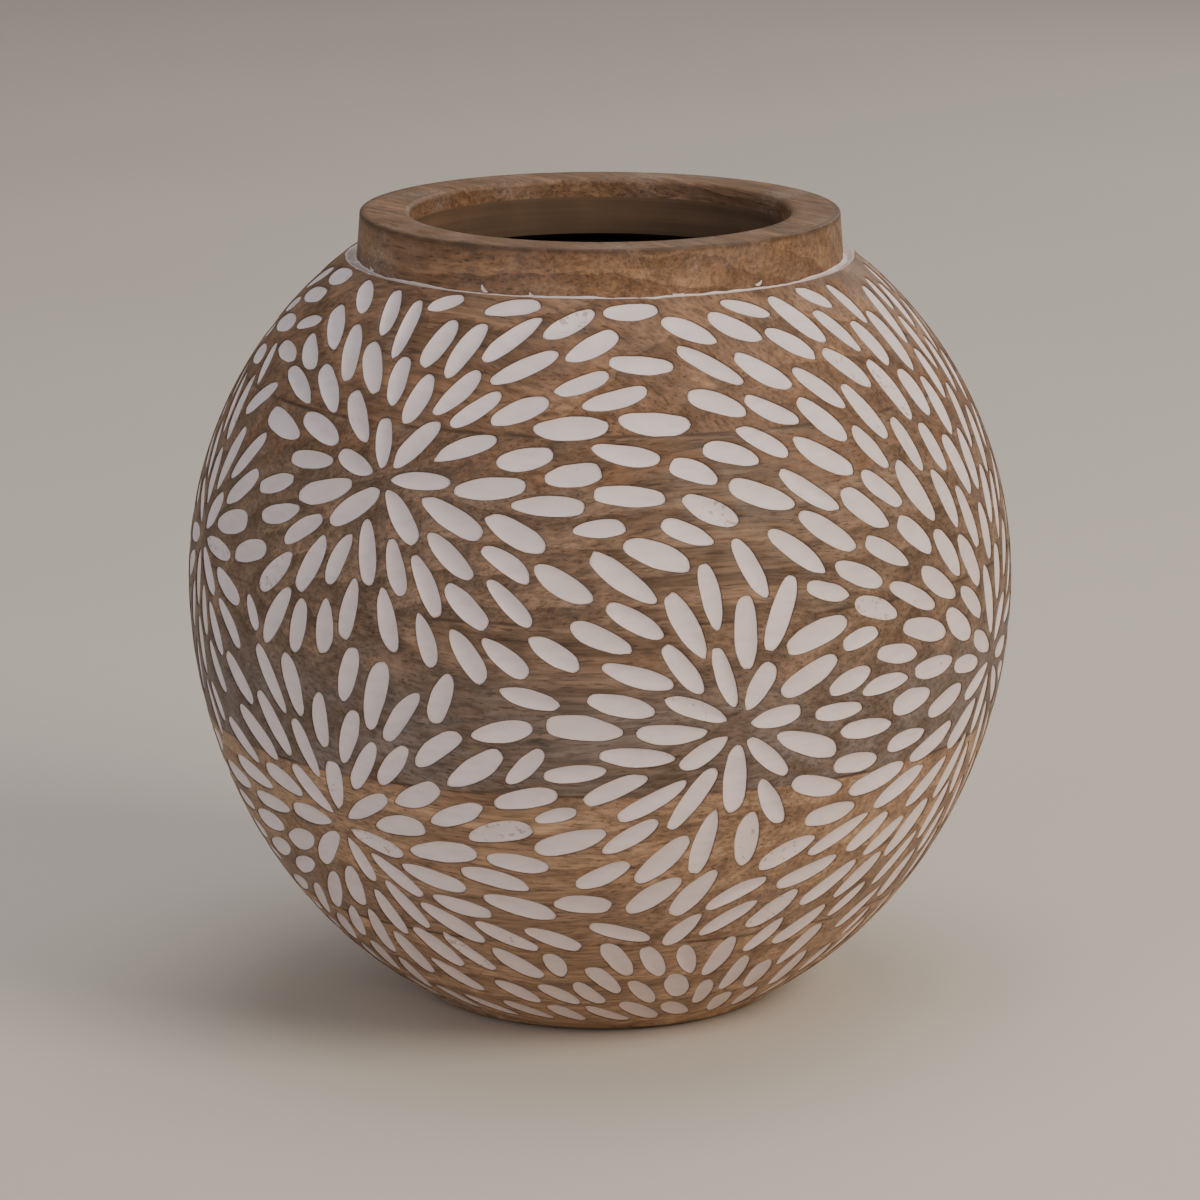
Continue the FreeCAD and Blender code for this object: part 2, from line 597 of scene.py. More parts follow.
def connected_patches(faces, cut_edges):
    """Groups triangles that can be reached from each other without crossing a cut edge."""
    at_edge = {}
    for index, face in enumerate(faces):
        for first, second in sides(face):
            at_edge.setdefault(frozenset((first, second)), []).append(index)
    waiting = set(range(len(faces)))
    while waiting:
        patch = [waiting.pop()]
        for index in patch:
            face = faces[index]
            for first, second in sides(face):
                edge = frozenset((first, second))
                if edge in cut_edges:
                    continue
                for other in at_edge[edge]:
                    if other in waiting:
                        waiting.remove(other)
                        patch.append(other)
        yield [tuple(faces[index]) for index in patch]


def border_loops(faces):
    """The closed loops of corners round the border of a patch of faces that all turn the same way."""
    onward = {}
    for face in faces:
        for first, second in sides(face):
            onward[(first, second)] = True
    following = {first: second for first, second in onward if (second, first) not in onward}
    loops = []
    while following:
        loop = [next(iter(following))]
        while loop[-1] in following:
            loop.append(following.pop(loop[-1]))
        loops.append(loop[:-1])
    return loops


# -------- mesh tools


class Mesh:
    """Collects points, faces and material slots, with each point's darkness, tone and wear."""

    def __init__(self):
        self.points = []
        self.faces = []
        self.slots = []
        self.values = {"dark": [], "tone": [], "wear": []}

    def add(self, point, dark=0.0, tone=0.0, wear=0.0):
        self.points.append(point)
        self.values["dark"].append(dark)
        self.values["tone"].append(tone)
        self.values["wear"].append(wear)
        return len(self.points) - 1

    def face(self, corners, slot=0):
        self.faces.append(corners)
        self.slots.append(slot)

    def ring(self, radius, height, dark=0.0, shape=None):
        """A turned ring of points. shape(azimuth) may return a small change of (radius, height)."""
        ring = []
        for index in range(SEGMENTS):
            azimuth = TURN * index / SEGMENTS
            extra_radius, extra_height = shape(azimuth) if shape else (0.0, 0.0)
            ring.append(self.add(polar(azimuth, radius + extra_radius, height + extra_height), dark))
        return ring

    def band(self, first, second, slot=0):
        """Quads between two rings of the same count."""
        for (a, b), (c, d) in zip(sides(first), sides(second)):
            self.face((a, b, d, c), slot)

    def bands(self, rings, slot=0):
        """Quads from each ring to the next."""
        for first, second in zip(rings, rings[1:]):
            self.band(first, second, slot)

    def zip_rings(self, first, second, slot=0):
        """Triangles between two rings of any counts, each sorted by azimuth."""
        turns = []
        for ring in (first, second):
            angles = [azimuth_of(self.points[index]) for index in ring]
            turns.append(angles + [angles[0] + TURN])
        i = 0
        j = 0
        while i < len(first) or j < len(second):
            a = first[i % len(first)]
            b = second[j % len(second)]
            step_first = j >= len(second) or (i < len(first) and turns[0][i + 1] <= turns[1][j + 1])
            if step_first:
                i += 1
                self.face((a, first[i % len(first)], b), slot)
            else:
                j += 1
                self.face((a, second[j % len(second)], b), slot)

    def fan(self, ring, tip, slot=0):
        """Closes a ring with triangles to one point."""
        for first, second in sides(ring):
            self.face((first, second, tip), slot)

    def cap(self, ring, height, slot=0):
        """Closes a ring with triangles to a point on the turning axis."""
        self.fan(ring, self.add(Vector((0, 0, height))), slot)

    def build(self, name, materials, sharp=38):
        mesh = bpy.data.meshes.new(name)
        mesh.from_pydata(self.points, [], self.faces)
        for material in materials:
            mesh.materials.append(material)
        for polygon, slot in zip(mesh.polygons, self.slots):
            polygon.material_index = slot
            polygon.use_smooth = True
        for key, values in self.values.items():
            mesh.attributes.new(key, "FLOAT", "POINT").data.foreach_set("value", values)
        work = bmesh.new()
        work.from_mesh(mesh)
        bmesh.ops.recalc_face_normals(work, faces=work.faces)
        work.to_mesh(mesh)
        work.free()
        mesh.set_sharp_from_angle(angle=math.radians(sharp))
        obj = bpy.data.objects.new(name, mesh)
        bpy.context.scene.collection.objects.link(obj)
        return obj


def azimuth_of(point):
    return math.atan2(point.x, -point.y) % TURN


def ripple(azimuth, seed, scale):
    """Smooth noise from about -1 to 1 that joins up after a full turn."""
    return noise.noise(Vector((math.sin(azimuth), math.cos(azimuth), seed)) * scale)


def hollow_radius(height):
    return math.sqrt(HOLLOW_RADIUS**2 - (height - BELLY_HEIGHT) ** 2)


# -------- boards


def board_skin(mesh, board, skin):
    """Adds one board's carved surface. Returns its lower and upper edge rings, in order of azimuth."""
    points, darks, boards = skin
    new_index = {}
    for corners in boards[board]:
        for corner in corners:
            if corner not in new_index:
                new_index[corner] = mesh.add(points[corner], darks[corner])
        mesh.face(tuple(new_index[corner] for corner in corners))
    rings = []
    for loop in border_loops(boards[board]):
        ring = [new_index[corner] for corner in loop]
        start = min(range(len(ring)), key=lambda place: azimuth_of(mesh.points[ring[place]]))
        ring = ring[start:] + ring[:start]
        if azimuth_of(mesh.points[ring[1]]) > azimuth_of(mesh.points[ring[-1]]):
            ring = ring[:1] + ring[:0:-1]
        rings.append(ring)
    rings.sort(key=lambda ring: mesh.points[ring[0]].z)
    return rings


def hollow_rings(mesh, low, high, rows=8):
    """Rings up the inside of the hollow, from one height to another."""
    rings = []
    for row in range(rows + 1):
        height = low + (high - low) * row / rows
        rings.append(mesh.ring(hollow_radius(height), height))
    mesh.bands(rings, slot=1)
    return rings


def ring_board(index, skin, materials):
    """A board in the middle of the stack: carved outside, plain glue faces, and the hollow inside."""
    mesh = Mesh()
    lower_edge, upper_edge = board_skin(mesh, index, skin)
    rings = hollow_rings(mesh, SEAMS[index - 1], SEAMS[index])
    mesh.zip_rings(lower_edge, rings[0])
    mesh.zip_rings(upper_edge, rings[-1])
    return mesh.build(BOARDS[index] + "_wood", materials)


def shoulder_board(skin, materials):
    """The top board, with the groove's outer slope and the rebate for the neck ring."""
    mesh = Mesh()
    lower_edge, upper_edge = board_skin(mesh, len(SEAMS), skin)
    rings = hollow_rings(mesh, SEAMS[-1], SPIGOT_FOOT, rows=5)
    rebate = [
        mesh.ring(SPIGOT_RADIUS, SPIGOT_FOOT),
        mesh.ring(SPIGOT_RADIUS, COLLAR_SEAT),
        mesh.ring(COLLAR_BOTTOM_RADIUS, COLLAR_SEAT, dark=1.0),
    ]
    mesh.bands([rings[-1]] + rebate, slot=1)
    mesh.zip_rings(lower_edge, rings[0])
    mesh.zip_rings(upper_edge, rebate[2])
    return mesh.build("shoulder_board_wood", materials)


def base_board(skin, materials):
    """The bottom board, with its rounded foot, the felt's recess and the vase's floor."""
    mesh = Mesh()
    lower_edge, upper_edge = board_skin(mesh, 0, skin)
    foot_radius = BELLY_RADIUS * math.cos(FOOT_LATITUDE)
    # Painted shade: the foot's rounded edge and its underside are marked dark, where the foot meets the
    # floor.
    corner = mesh.ring(foot_radius - 0.35 * FOOT_ROUND, WOOD_BOTTOM + 0.4 * FOOT_ROUND, dark=0.3)
    mesh.zip_rings(lower_edge, corner)
    under = [
        corner,
        mesh.ring(foot_radius - FOOT_ROUND, WOOD_BOTTOM, dark=0.6),
        mesh.ring(FELT_RECESS_RADIUS, WOOD_BOTTOM),
        mesh.ring(FELT_RECESS_RADIUS, FELT_TOP),
    ]
    mesh.bands(under)
    mesh.cap(under[-1], FELT_TOP)
    floor = BELLY_HEIGHT - HOLLOW_RADIUS
    rings = hollow_rings(mesh, floor + 1 * MM, SEAMS[0], rows=10)
    mesh.cap(rings[0], floor, slot=1)
    mesh.zip_rings(upper_edge, rings[-1])
    return mesh.build("base_board_wood", materials)


# -------- paint


def add_petal_paint(mesh, petal):
    """The thin coat of paint left in one cut, as a closed shell."""
    facts = {"tone": petal.tone, "wear": petal.wear}
    top = []
    for share, offset, dark in PAINT_RINGS:
        depth = petal.paint_depth(share)
        places = petal.outline(share, offset)
        top.append([mesh.add(on_body(*place, depth), dark, **facts) for place in places])
    under = []
    for share in (0.9, 0.5):
        depth = petal.paint_depth(share) + PAINT_THICKNESS
        under.append([mesh.add(on_body(*place, depth), **facts) for place in petal.outline(share)])
    mesh.bands(top)
    mesh.bands([top[0]] + under)
    for ring, depth in ((top[-1], petal.depth), (under[-1], petal.depth + PAINT_THICKNESS)):
        mesh.fan(ring, mesh.add(on_body(*petal.place(0, petal.bow), depth), **facts))


def petal_paint(petals, material):
    """One piece of paint for each board's petals."""
    pieces = []
    for index, board in enumerate(BOARDS):
        mesh = Mesh()
        for petal in petals.petals:
            if board_at(petal.latitude) == index:
                add_petal_paint(mesh, petal)
        pieces.append(mesh.build(board + "_petals", [material], sharp=60))
    return pieces


def groove_floor(radius):
    """Height of the wood near the groove: its outer slope, or the shoulder beyond its edge."""
    edge = math.sqrt(BELLY_RADIUS**2 - (GROOVE_TOP - BELLY_HEIGHT) ** 2)
    if radius > edge:
        return BELLY_HEIGHT + math.sqrt(BELLY_RADIUS**2 - radius**2)
    slope = (GROOVE_TOP - COLLAR_SEAT) / (edge - COLLAR_BOTTOM_RADIUS)
    return COLLAR_SEAT + (radius - COLLAR_BOTTOM_RADIUS) * slope


def groove_paint(material):
    """White paint caught in the groove, ragged where it ends up the collar's foot and on the shoulder."""
    foot = COLLAR_BOTTOM_RADIUS

    def rough(azimuth, scale, seed):
        octaves = ((1.0, 1.0), (0.5, 3.7), (0.3, 11.3))
        return sum(share * ripple(azimuth, seed, scale * finer) for share, finer in octaves)

    def climb(azimuth):
        return 0.0, (1.5 + 0.55 * rough(azimuth, 4.0, 0.3)) * MM

    def spill(azimuth, inset, lift):
        radius = foot + (2.85 + 0.5 * rough(azimuth, 4.6, 1.9) - inset) * MM
        return radius - foot, groove_floor(radius) + lift * MM - COLLAR_SEAT

    mesh = Mesh()
    rings = [
        mesh.ring(foot - 0.3 * MM, COLLAR_SEAT + 0.1 * MM),
        mesh.ring(foot - 0.1 * MM, COLLAR_SEAT, 0.9, climb),
        mesh.ring(foot + 0.06 * MM, COLLAR_SEAT - 0.2 * MM, 0.3, climb),
        mesh.ring(foot + 0.16 * MM, COLLAR_SEAT - 0.45 * MM, 0.9, climb),
        mesh.ring(foot + 0.9 * MM, COLLAR_SEAT + 0.9 * MM, 1.0),
        mesh.ring(foot, COLLAR_SEAT, 1.0, lambda azimuth: spill(azimuth, 0.7, 0.22)),
        mesh.ring(foot, COLLAR_SEAT, 0.2, lambda azimuth: spill(azimuth, 0.25, 0.10)),
        mesh.ring(foot, COLLAR_SEAT, 0.8, lambda azimuth: spill(azimuth, 0.0, 0.01)),
        mesh.ring(foot + 1.2 * MM, COLLAR_SEAT + 0.55 * MM),
    ]
    mesh.bands(rings + rings[:1])
    return mesh.build("groove_paint", [material])


def add_chip(mesh, azimuth, height, size, tilt):
    """A crescent of paint in a nick of the collar's face, as a thin closed shell."""
    taper = (COLLAR_BOTTOM_RADIUS - COLLAR_TOP_RADIUS) / (VASE_TOP - COLLAR_SEAT)
    section = [(bulge, 0.1 * MM) for bulge in (1.0, 0.62, 0.3)]
    section += [(bulge, -0.25 * MM) for bulge in (0.3, 0.62, 1.0)]
    rings = []
    for step in range(11):
        turned = math.pi * (0.08 + 0.084 * step)
        across = size * math.cos(turned)
        ring = []
        for bulge, proud in section:
            up = size * bulge * math.sin(turned) * 0.9
            side = across * math.cos(tilt) - up * math.sin(tilt)
            z = height + across * math.sin(tilt) + up * math.cos(tilt)
            radius = COLLAR_BOTTOM_RADIUS - taper * (z - COLLAR_SEAT) + proud
            ring.append(mesh.add(polar(azimuth + side / radius, radius, z)))
        rings.append(ring)
    mesh.bands(rings)
    for a, b, c, d, e, f in (rings[0], rings[-1]):
        mesh.face((a, b, e, f))
        mesh.face((b, c, d, e))


def collar_chips(material):
    """The few small crescents of paint left in nicks round the foot of the collar."""
    dice = random.Random(3)
    mesh = Mesh()
    for azimuth in (-67, -27, -15, 18, 39, 84, 131, 170, -142, -101):
        height = COLLAR_SEAT + dice.uniform(1.9, 3.2) * MM
        add_chip(mesh, math.radians(azimuth), height, dice.uniform(0.9, 1.5) * MM, dice.uniform(2.2, 4.2))
    return mesh.build("collar_chips", [material])


# -------- neck ring and felt


def collar_outline():
    """Round the collar's section from the foot of its bore: (radius, height, how dark, slot of the band)."""
    rows = [
        (MOUTH_RADIUS, BELLY_HEIGHT + math.sqrt(HOLLOW_RADIUS**2 - MOUTH_RADIUS**2), 0.0, 1),
        (MOUTH_RADIUS, VASE_TOP - 5 * MM, 0.0, 1),
    ]
    for step in range(5):
        angle = math.pi / 2 * step / 4
        radius = MOUTH_RADIUS + LIP_INNER_ROUND * (1 - math.cos(angle))
        rows.append((radius, VASE_TOP - LIP_INNER_ROUND * (1 - math.sin(angle)), 0.35, 0))
    rows += [
        (MOUTH_RADIUS + 4 * MM, VASE_TOP, 0.0, 0),
        (COLLAR_TOP_RADIUS - 2.2 * MM, VASE_TOP, 0.0, 0),
    ]
    for step in range(4):
        angle = math.pi / 2 * step / 3
        radius = COLLAR_TOP_RADIUS - LIP_OUTER_ROUND * (1 - math.sin(angle))
        rows.append((radius, VASE_TOP - LIP_OUTER_ROUND * (1 - math.cos(angle)), 0.9, 0))
    rows += [
        (COLLAR_TOP_RADIUS + 0.08 * MM, VASE_TOP - 1.9 * MM, 0.0, 0),
        (COLLAR_BOTTOM_RADIUS - 0.1 * MM, COLLAR_SEAT + 1.6 * MM, 0.0, 0),
        (COLLAR_BOTTOM_RADIUS - 0.02 * MM, COLLAR_SEAT + 0.4 * MM, 0.7, 0),
        (COLLAR_BOTTOM_RADIUS - 0.4 * MM, COLLAR_SEAT, 1.0, 0),
        (SPIGOT_RADIUS, COLLAR_SEAT, 0.0, 1),
        (SPIGOT_RADIUS, SPIGOT_FOOT, 0.0, 1),
        (hollow_radius(SPIGOT_FOOT), SPIGOT_FOOT, 0.0, 1),
    ]
    return rows


def neck_ring(materials):
    """The flared collar with its flat lip, its spigot and the bore of the mouth."""

    def sway(azimuth):
        return -0.06 * MM * (1 + ripple(azimuth, 0.4, 2.2)), 0.0

    mesh = Mesh()
    rows = collar_outline()
    rings = []
    for radius, height, dark, slot in rows:
        outside = radius > SPIGOT_RADIUS
        rings.append(mesh.ring(radius, height, dark, sway if outside else None))
    for (ring, after), (_, row) in zip(sides(rings), sides(rows)):
        mesh.band(ring, after, slot=row[3])
    return mesh.build("neck_ring_wood", materials)


def felt_disc(material):
    """The felt under the foot, with a soft, slightly uneven edge."""

    def fray(azimuth):
        return -0.2 * MM * (1 + ripple(azimuth, 0.1, 14)), 0.0

    mesh = Mesh()
    rings = [
        mesh.ring(FELT_RADIUS * 0.5, FELT_TOP),
        mesh.ring(FELT_RADIUS - 0.5 * MM, FELT_TOP, shape=fray),
        mesh.ring(FELT_RADIUS, FELT_TOP - 0.6 * MM, shape=fray),
        mesh.ring(FELT_RADIUS, 0.6 * MM, shape=fray),
        mesh.ring(FELT_RADIUS - 0.5 * MM, 0.0, shape=fray),
        mesh.ring(FELT_RADIUS * 0.5, 0.0),
    ]
    mesh.bands(rings)
    mesh.cap(rings[0], FELT_TOP)
    mesh.cap(rings[-1], 0.0)
    return mesh.build("felt_disc_cloth", [material])


# -------- materials


class Shader:
    """A material's node tree, with a short call for each kind of node used here."""

    def __init__(self, name, roughness):
        self.material = bpy.data.materials.new(name)
        self.material.use_nodes = True
        self.nodes = self.material.node_tree.nodes
        self.links = self.material.node_tree.links
        self.surface = self.nodes["Principled BSDF"]
        self.surface.inputs["Roughness"].default_value = roughness
        self.coords = self.nodes.new("ShaderNodeTexCoord").outputs["Object"]

    def node(self, kind, inputs, **settings):
        node = self.nodes.new(kind)
        for key, value in settings.items():
            setattr(node, key, value)
        for key, value in inputs.items():
            if isinstance(value, bpy.types.NodeSocket):
                self.links.new(value, node.inputs[key])
            else:
                node.inputs[key].default_value = value
        return node

    def mapped(self, scale=(1, 1, 1), turn=0.0, shift=(0, 0, 0), vector=None):
        inputs = {"Vector": vector or self.coords, "Scale": scale, "Location": shift}
        inputs["Rotation"] = (0, 0, turn)
        return self.node("ShaderNodeMapping", inputs).outputs["Vector"]

    def noise(self, scale, detail=3.0, vector=None, rough=0.5, distortion=0.0):
        """Cloudy noise. scale is one number, or three for x, y and z."""
        vector = vector or self.coords
        if isinstance(scale, tuple):
            vector = self.mapped(scale, vector=vector)
            scale = 1.0
        inputs = {"Vector": vector, "Scale": scale, "Detail": detail, "Roughness": rough}
        inputs["Distortion"] = distortion
        return self.node("ShaderNodeTexNoise", inputs).outputs["Fac"]

    def between(self, value, low, high, to_low=0.0, to_high=1.0):
        """value's place between low and high, eased, as a number from to_low to to_high."""
        inputs = {"Value": value, "From Min": low, "From Max": high, "To Min": to_low, "To Max": to_high}
        return self.node("ShaderNodeMapRange", inputs, interpolation_type="SMOOTHSTEP").outputs["Result"]

    def math(self, operation, first, second=0.0):
        node = self.node("ShaderNodeMath", {0: first, 1: second}, operation=operation)
        return node.outputs["Value"]

    def vector_math(self, operation, inputs):
        return self.node("ShaderNodeVectorMath", inputs, operation=operation).outputs["Vector"]

    def times(self, first, second):
        return self.math("MULTIPLY", first, second)

    def apart(self, first, second):
        """How far apart two values are."""
        return self.math("ABSOLUTE", self.math("SUBTRACT", first, second))

    def mix(self, share, first, second, blend="MIX"):
        inputs = {0: share, 6: first, 7: second}
        node = self.node("ShaderNodeMix", inputs, data_type="RGBA", blend_type=blend)
        return node.outputs[2]

    def attribute(self, name):
        return self.node("ShaderNodeAttribute", {}, attribute_name=name).outputs["Fac"]

    def height(self):
        return self.node("ShaderNodeSeparateXYZ", {"Vector": self.coords}).outputs["Z"]

    def finish(self, colour, roughness, bumps):
        """Links the colour, the roughness and a stack of (height, distance) bumps to the surface."""
        self.links.new(colour, self.surface.inputs["Base Color"])
        self.links.new(roughness, self.surface.inputs["Roughness"])
        normal = None
        for value, distance in bumps:
            inputs = {"Height": value, "Distance": distance, "Strength": 1.0}
            if normal:
                inputs["Normal"] = normal
            normal = self.node("ShaderNodeBump", inputs).outputs["Normal"]
        if normal:
            self.links.new(normal, self.surface.inputs["Normal"])
        return self.material


def rgb(red, green, blue):
    return (red, green, blue, 1.0)


EDGE_BROWN = rgb(0.055, 0.031, 0.018)
WHITE_PAINT = rgb(0.77, 0.685, 0.715)
# Painted warm shade that the white paint takes on towards the foot.
PAINTED_FOOT_SHADE = rgb(0.55, 0.43, 0.37)


def swaying_grain(shader, turn, pith):
    """Coordinates along and across the grain, bent a little so that no fibre is quite straight."""
    straight = shader.mapped(turn=turn, shift=(0.013, pith[0], pith[1]))
    sway = shader.noise((5, 16, 16), 2.0, straight)
    bend = shader.vector_math("SCALE", {0: (0.0, 0.018, 0.026), "Scale": sway})
    return shader.vector_math("ADD", {0: straight, 1: bend})


def growth_rings(shader, grain, pale, deep, ring_scale):
    """The tree's rings, from pale to deep, with deeper blotches."""
    inputs = {"Vector": grain, "Scale": ring_scale, "Distortion": 1.6, "Detail": 3.0, "Detail Scale": 3.0}
    settings = {"wave_type": "RINGS", "rings_direction": "X", "wave_profile": "SAW"}
    rings = shader.node("ShaderNodeTexWave", inputs, **settings).outputs["Fac"]
    blotch = shader.noise((14, 24, 24), 3.0, grain)
    colour = shader.mix(shader.between(rings, 0.1, 0.95), pale, deep)
    return shader.mix(shader.between(blotch, 0.3, 0.7, 0.0, 0.5), colour, deep)


def stained(shader, colour, stain, band, streaks):
    """Colours a band = (height, half width), ragged and patchy along the grain."""
    height, half_width = band
    wander = shader.times(shader.math("SUBTRACT", streaks, 0.5), 0.03)
    offset = shader.apart(shader.math("ADD", shader.height(), wander), height)
    inside = shader.between(offset, half_width, half_width * 0.3)
    patchy = shader.times(inside, shader.between(streaks, 0.36, 0.58, 0.35, 1.0))
    return shader.mix(patchy, colour, stain)


def shaded(shader, colour, fibres, streaks, pores):
    """Lightens and darkens the colour along the fibres, and darkens it in the pores."""
    shade = shader.between(fibres, 0.32, 0.68, 0.64, 1.32)
    shade = shader.times(shade, shader.between(streaks, 0.3, 0.7, 0.76, 1.2))
    shade = shader.times(shade, shader.between(pores, 0.0, 1.0, 1.0, 0.58))
    tint = shader.node("ShaderNodeCombineXYZ", {"X": shade, "Y": shade, "Z": shade}).outputs["Vector"]
    return shader.mix(1.0, colour, tint, "MULTIPLY")


def hazed(shader, colour, haze, fine):
    """Clouds the wood with a broken film of the old white paint."""
    cloud = shader.between(shader.noise(60.0, 4.0), 0.42, 0.75)
    specks = shader.between(fine, 0.5, 0.72, 0.25, 1.0)
    film = shader.times(shader.times(cloud, specks), haze)
    return shader.mix(film, colour, rgb(0.52, 0.47, 0.44))


def edged(shader, colour, seams):
    """Draws broken brown lines at the glued seams, and darkens the wood wherever its mesh is dark, with stain
    and painted shade.
    """
    breaks = shader.noise((70, 70, 70), 2.0)
    for seam in seams:
        line = shader.between(shader.apart(shader.height(), seam), 0.65 * MM, 0.12 * MM)
        line = shader.times(line, shader.between(breaks, 0.4, 0.6, 0.15, 0.85))
        colour = shader.mix(line, colour, EDGE_BROWN)
    # Stain and painted shade darken the wood in patches wherever the mesh is dark.
    stain_and_shade_patches = shader.between(shader.noise(170.0, 2.0), 0.3, 0.65, 0.35, 0.8)
    rim = shader.times(shader.between(shader.attribute("dark"), 0.0, 1.0), stain_and_shade_patches)
    return shader.mix(rim, colour, EDGE_BROWN)


def wood(name, pale, deep, stain, stain_band, turn, pith, seams=(), haze=0.08, ring_scale=34.0):
    """Turned mango wood cut from one board.

    pale and deep are the colours of its growth rings. stain colours a band round the height
    stain_band = (height, half width). turn is the direction the grain runs in, and pith is where the tree's
    centre lies beside the board. seams are the heights of its glued faces, and haze is how much of the old
    white paint still clouds the surface.
    """
    shader = Shader(name, 0.5)
    shader.surface.inputs["Specular IOR Level"].default_value = 0.3
    grain = swaying_grain(shader, turn, pith)
    fibres = shader.noise((34, 760, 760), 5.0, grain, rough=0.66)
    streaks = shader.noise((7, 150, 150), 4.0, grain)
    pores = shader.between(shader.noise((140, 1500, 1500), 2.0, grain), 0.58, 0.66)
    fine = shader.noise(900.0, 2.0)

    colour = growth_rings(shader, grain, pale, deep, ring_scale)
    colour = stained(shader, colour, stain, stain_band, streaks)
    colour = shaded(shader, colour, fibres, streaks, pores)
    colour = hazed(shader, colour, haze, fine)
    colour = edged(shader, colour, seams)

    roughness = shader.between(fibres, 0.3, 0.7, 0.44, 0.6)
    bumps = ((fibres, 0.05 * MM), (shader.math("SUBTRACT", 1.0, pores), 0.04 * MM), (fine, 0.015 * MM))
    return shader.finish(colour, roughness, bumps)


def inner_wood():
    """The rough-turned, unpolished wood inside the vase."""
    shader = Shader("inner_wood", 0.75)
    rings = shader.noise((9, 9, 420))
    blotch = shader.noise(26.0, 4.0)
    colour = shader.mix(shader.between(rings, 0.3, 0.7), rgb(0.17, 0.10, 0.055), rgb(0.095, 0.055, 0.03))
    colour = shader.mix(shader.between(blotch, 0.4, 0.7, 0.0, 0.6), colour, rgb(0.07, 0.045, 0.028))
    roughness = shader.between(blotch, 0.3, 0.7, 0.68, 0.85)
    return shader.finish(colour, roughness, ((rings, 0.12 * MM),))


def petal_white():
    """Matt white paint, rubbed back with the wood: dirt and painted shade darken it at the rims, and painted
    warm shade darkens it towards the foot.
    """
    shader = Shader("petal_white", 0.6)
    tone = shader.attribute("tone")
    wear = shader.attribute("wear")
    dark = shader.attribute("dark")
    brush = shader.noise((160, 160, 420))
    specks = shader.noise(620.0, rough=0.6)
    cloud = shader.noise(120.0)
    colour = shader.mix(tone, WHITE_PAINT, rgb(0.71, 0.635, 0.645))
    colour = shader.mix(shader.between(brush, 0.35, 0.7, 0.0, 0.4), colour, rgb(0.58, 0.52, 0.52))
    # Painted shade: the paint grows darker and warmer below 80 mm, most of all near the foot.
    colour = shader.mix(shader.between(shader.height(), 80 * MM, 15 * MM, 0.0, 0.3), colour, PAINTED_FOOT_SHADE)
    bare_limit = shader.between(wear, 0.0, 1.0, 0.84, 0.60)
    bare = shader.math("GREATER_THAN", specks, bare_limit)
    colour = shader.mix(shader.times(bare, 0.55), colour, rgb(0.30, 0.20, 0.14))
    uneven = shader.between(cloud, 0.3, 0.7, 0.15, 0.6)
    # Dirt and painted shade darken the paint at its rims, where the mesh is dark.
    edge = shader.times(shader.between(dark, 0.2, 1.0), uneven)
    colour = shader.mix(edge, colour, rgb(0.30, 0.21, 0.155))
    roughness = shader.between(cloud, 0.3, 0.7, 0.5, 0.68)
    return shader.finish(colour, roughness, ((brush, 0.04 * MM), (specks, 0.02 * MM)))


def felt():
    """Dark wool felt, with short fibres lying every way."""
    shader = Shader("felt", 0.95)
    fibres = shader.noise(1500.0, 4.0, distortion=1.5)
    cloud = shader.noise(180.0)
    colour = shader.mix(shader.between(fibres, 0.3, 0.7), rgb(0.022, 0.02, 0.018), rgb(0.07, 0.062, 0.055))
    shader.surface.inputs["Sheen Weight"].default_value = 0.4
    roughness = shader.between(cloud, 0.3, 0.7, 0.88, 1.0)
    return shader.finish(colour, roughness, ((fibres, 0.15 * MM), (cloud, 0.1 * MM)))


def board_woods():
    """The outside of each board, from the bottom up. Each is from another piece of the tree."""
    tan = rgb(0.380, 0.247, 0.152)
    tan_deep = rgb(0.236, 0.146, 0.090)
    straw = rgb(0.420, 0.275, 0.172)
    brown = rgb(0.229, 0.149, 0.100)
    brown_deep = rgb(0.142, 0.090, 0.057)
    red = rgb(0.262, 0.152, 0.088)
    red_deep = rgb(0.158, 0.088, 0.049)
    grey = rgb(0.150, 0.116, 0.100)
    base_band = (8 * MM, 8 * MM)
    lower_band = (44 * MM, 12 * MM)
    middle_band = (96 * MM, 25 * MM)
    upper_band = (169 * MM, 8 * MM)
    shoulder_band = (177 * MM, 10 * MM)
    return (
        wood("base_wood", straw, tan_deep, tan, base_band, 0.12, (0.03, 0.10), SEAMS[:1]),
        wood("lower_wood", tan, tan_deep, brown, lower_band, 0.25, (0.06, 0.02), SEAMS[:2], 0.08, 26.0),
        wood("middle_wood", brown, brown_deep, grey, middle_band, 0.06, (-0.10, 0.05), SEAMS[1:3]),
        wood("upper_wood", brown, brown_deep, red_deep, upper_band, -0.3, (0.09, -0.04), SEAMS[2:], 0.1),
        wood("shoulder_wood", red, red_deep, red_deep, shoulder_band, 0.5, (0.02, -0.12), SEAMS[3:], 0.13),
    )


def neck_wood():
    red = rgb(0.272, 0.158, 0.088)
    red_deep = rgb(0.168, 0.092, 0.049)
    band = (VASE_TOP, 3 * MM)
    return wood("neck_wood", red, red_deep, red_deep, band, 0.9, (0.05, -0.06), haze=0.42, ring_scale=44.0)


# -------- the object


def dress(piece, slot, *nodes):
    """Hangs a piece on the root and hides the CAD nodes it stands for. slot, the finish it would take, is not
    used.
    """
    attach(piece, "root")
    if nodes:
        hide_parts(*nodes)


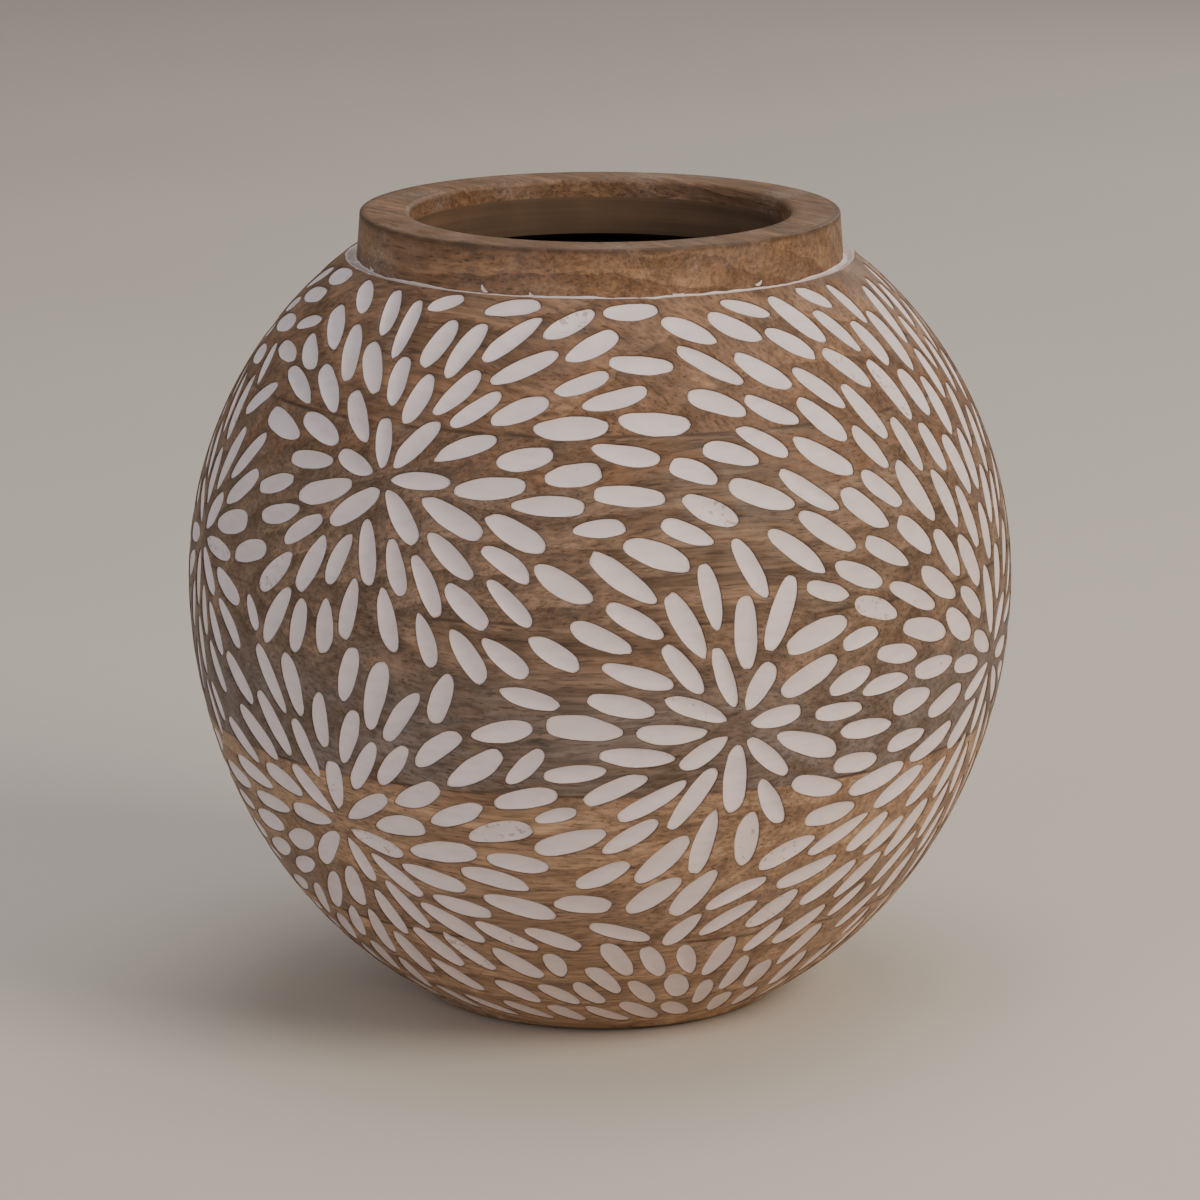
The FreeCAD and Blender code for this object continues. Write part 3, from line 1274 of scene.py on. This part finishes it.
def build_vase():
    petals = lay_out_petals()
    skin = carve_skin(petals)
    inside = inner_wood()
    woods = board_woods()
    white = petal_white()
    boards = [base_board(skin, [woods[0], inside])]
    for index in (1, 2, 3):
        boards.append(ring_board(index, skin, [woods[index], inside]))
    boards.append(shoulder_board(skin, [woods[4], inside]))
    for node, piece in zip(BOARDS, boards):
        dress(piece, node.replace("board", "wood"), node)
    for piece in petal_paint(petals, white):
        dress(piece, "petal_paint")
    dress(groove_paint(white), "petal_paint")
    dress(collar_chips(white), "petal_paint")
    dress(neck_ring([neck_wood(), inside]), "neck_wood", "neck_ring")
    dress(felt_disc(felt()), "felt", "felt_disc")
    print("petals", len(petals.petals))


# -------- stage, light and camera


def add_floor():
    """A plain pale floor that curves up into a plain wall all the way round."""
    flat = 2.7
    curve = 1.0
    profile = [(0.4, 0.0), (flat, 0.0)]
    for step in range(1, 13):
        angle = math.pi / 2 * step / 12
        profile.append((flat + curve * math.sin(angle), curve * (1 - math.cos(angle))))
    profile.append((flat + curve, 2.4))
    mesh = Mesh()
    rings = [mesh.ring(radius, height) for radius, height in profile]
    mesh.cap(rings[0], 0.0)
    mesh.bands(rings)
    shader = Shader("stage_floor", 0.8)
    soft = shader.noise(3.0, 2.0)
    colour = shader.mix(soft, rgb(0.60, 0.56, 0.50), rgb(0.64, 0.60, 0.54))
    material = shader.finish(colour, shader.between(soft, 0.3, 0.7, 0.75, 0.85), ())
    mesh.build("stage_floor", [material])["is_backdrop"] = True


def add_light(name, place, target, size, power, colour):
    light = bpy.data.lights.new(name, "AREA")
    light.shape = "DISK"
    light.size = size
    light.energy = power
    light.color = colour
    obj = bpy.data.objects.new(name, light)
    obj.location = place
    obj.rotation_euler = (Vector(target) - Vector(place)).to_track_quat("-Z", "Y").to_euler()
    bpy.context.scene.collection.objects.link(obj)


def add_lights():
    """Soft daylight: a broad window to the right, cooler fill from the left, and warm light from low down."""
    aim = (0, 0, 0.1)
    add_light("window", (1.5, -1.0, 1.3), aim, 1.2, 32, (1.0, 0.88, 0.73))
    add_light("fill", (-1.6, -1.6, 0.8), aim, 1.6, 13, (0.94, 0.93, 1.0))
    add_light("overhead", (0.1, 0.2, 1.9), aim, 1.4, 11, (1.0, 0.97, 0.94))
    add_light("behind", (0.9, 1.7, 1.1), aim, 1.4, 7, (1.0, 0.97, 0.94))
    add_light("bounce", (1.05, -1.8, 0.24), (0.02, 0, 0.04), 0.44, 6.0, (1.0, 0.64, 0.40))
    world = bpy.data.worlds.new("soft_room")
    bpy.context.scene.world = world
    world.use_nodes = True
    background = world.node_tree.nodes["Background"]
    background.inputs["Color"].default_value = (0.86, 0.88, 0.92, 1.0)
    background.inputs["Strength"].default_value = 0.3


def add_camera():
    """A long lens about 1.5 m away, looking down on the rim by 9.35 degrees."""
    camera = bpy.data.cameras.new("camera")
    camera.sensor_width = 36
    camera.lens = 170
    obj = bpy.data.objects.new("camera", camera)
    reach = 1.534
    fall = math.radians(9.35)
    obj.location = (0, -reach * math.cos(fall), VASE_TOP + reach * math.sin(fall))
    target = Vector((0, 0, 0.5 * VASE_TOP))
    obj.rotation_euler = (target - obj.location).to_track_quat("-Z", "Y").to_euler()
    bpy.context.scene.collection.objects.link(obj)
    bpy.context.scene.camera = obj


build_vase()
add_floor()
add_lights()
add_camera()

visual_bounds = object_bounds()
boxes = {"cad": cad_bounds, "visual": visual_bounds}
{name: [list(corner) for corner in box] for name, box in boxes.items()}
